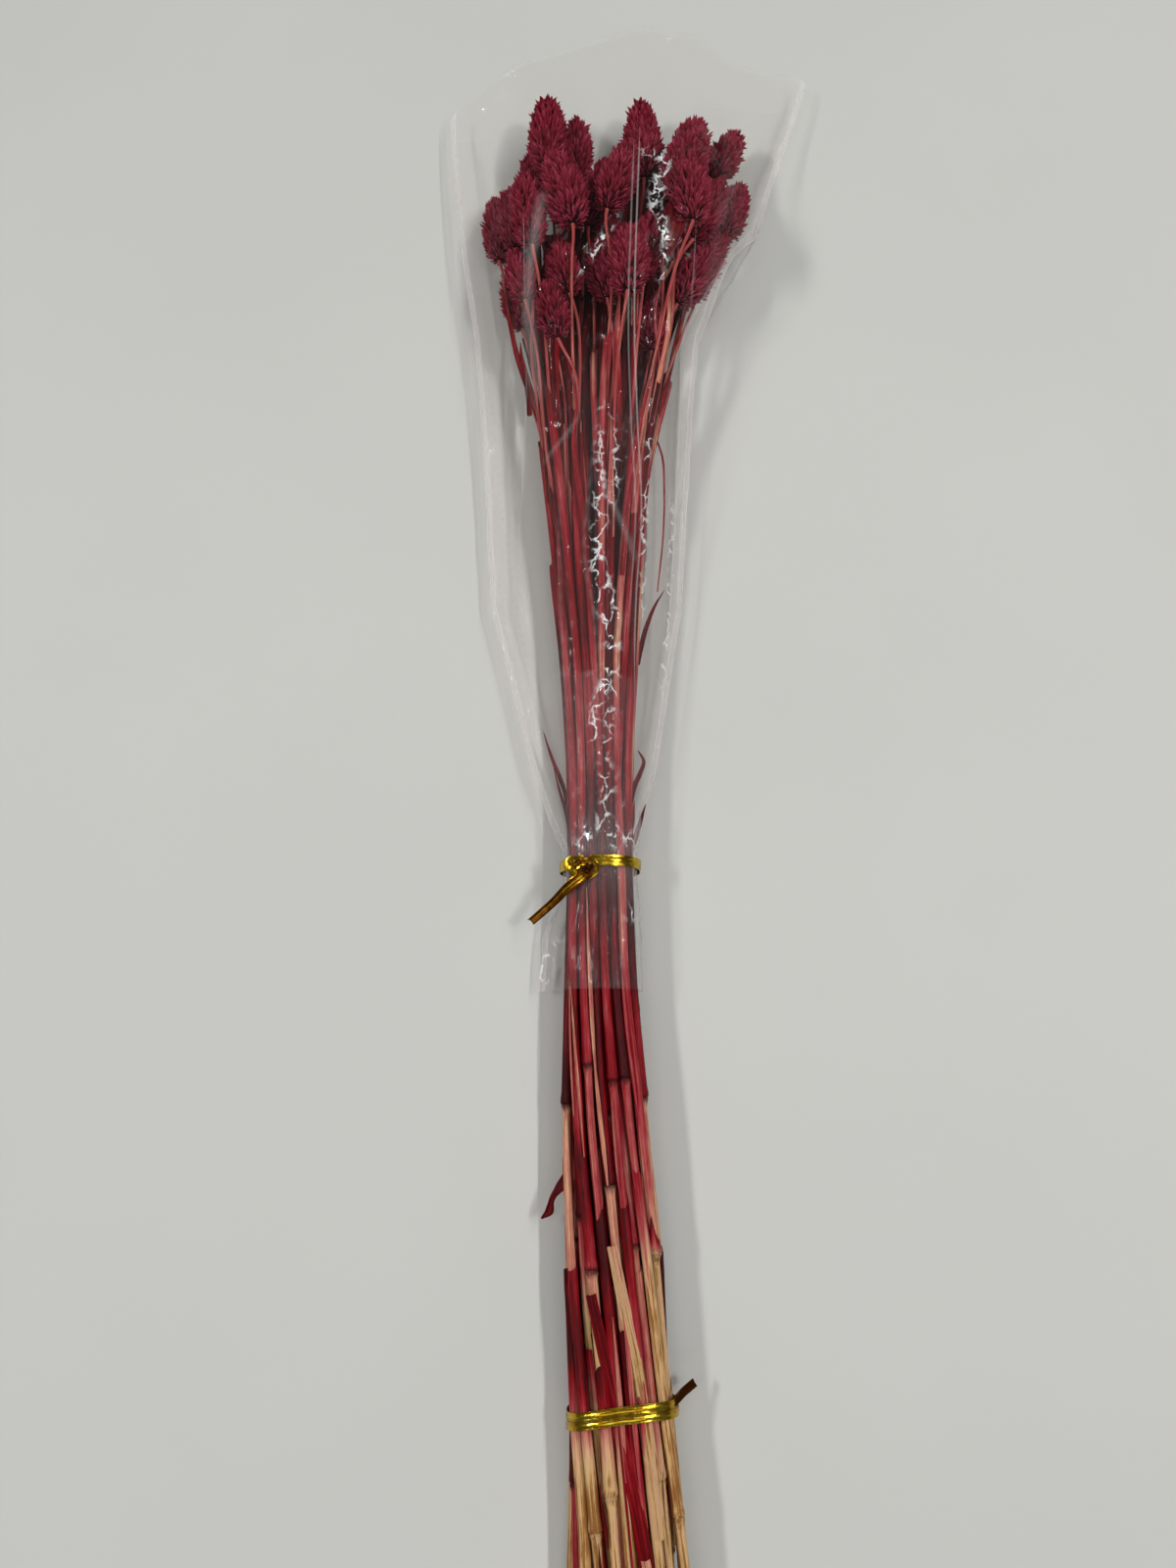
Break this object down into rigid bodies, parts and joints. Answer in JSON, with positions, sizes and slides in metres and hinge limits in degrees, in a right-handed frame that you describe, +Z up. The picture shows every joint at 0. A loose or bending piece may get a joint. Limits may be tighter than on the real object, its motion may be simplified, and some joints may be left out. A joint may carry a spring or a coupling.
{
  "type": "bunch of dried canary grass",
  "caption": "Bunch of dried, dyed canary grass lying down: oval flower heads on thin stalks, held by two foil twist ties, with an open clear film sleeve round the heads.",
  "frame": {"origin": "middle of the bunch as seen from above, at the height of the surface it lies on", "axes": "+Y from the cut ends to the flower heads, +Z up off the surface, +X to the right seen from above with the heads away from the viewer"},
  "size_m": [0.168, 0.7519, 0.059],
  "materials": {
    "dyed_stem": "matte dried straw, dyed crimson to salmon",
    "dyed_head": "matte papery scales, dyed crimson",
    "gold_foil": "bright crinkled foil",
    "clear_film": "clear, glossy and crumpled"
  },
  "bodies": {
    "root": {"stem_01": "dyed_stem", "stem_02": "dyed_stem", "stem_03": "dyed_stem", "stem_04": "dyed_stem", "stem_05": "dyed_stem", "stem_06": "dyed_stem", "stem_07": "dyed_stem", "stem_08": "dyed_stem", "stem_09": "dyed_stem", "stem_10": "dyed_stem", "stem_11": "dyed_stem", "stem_12": "dyed_stem", "stem_13": "dyed_stem", "stem_14": "dyed_stem", "stem_15": "dyed_stem", "stem_16": "dyed_stem", "stem_17": "dyed_stem", "stem_18": "dyed_stem", "stem_19": "dyed_stem", "stem_20": "dyed_stem", "stem_21": "dyed_stem", "stem_22": "dyed_stem", "stem_23": "dyed_stem", "stem_24": "dyed_stem", "stem_25": "dyed_stem", "stem_26": "dyed_stem", "stem_27": "dyed_stem", "stem_28": "dyed_stem", "head_01": "dyed_head", "head_02": "dyed_head", "head_03": "dyed_head", "head_04": "dyed_head", "head_05": "dyed_head", "head_06": "dyed_head", "head_07": "dyed_head", "head_08": "dyed_head", "head_09": "dyed_head", "head_10": "dyed_head", "head_11": "dyed_head", "head_12": "dyed_head", "head_13": "dyed_head", "head_14": "dyed_head", "head_15": "dyed_head", "head_16": "dyed_head", "head_17": "dyed_head", "head_18": "dyed_head", "head_19": "dyed_head", "head_20": "dyed_head", "head_21": "dyed_head", "head_22": "dyed_head", "head_23": "dyed_head", "head_24": "dyed_head", "head_25": "dyed_head", "head_26": "dyed_head", "head_27": "dyed_head", "head_28": "dyed_head", "tie_upper": "gold_foil", "tie_lower": "gold_foil", "sleeve": "clear_film"}
  },
  "joints": []
}
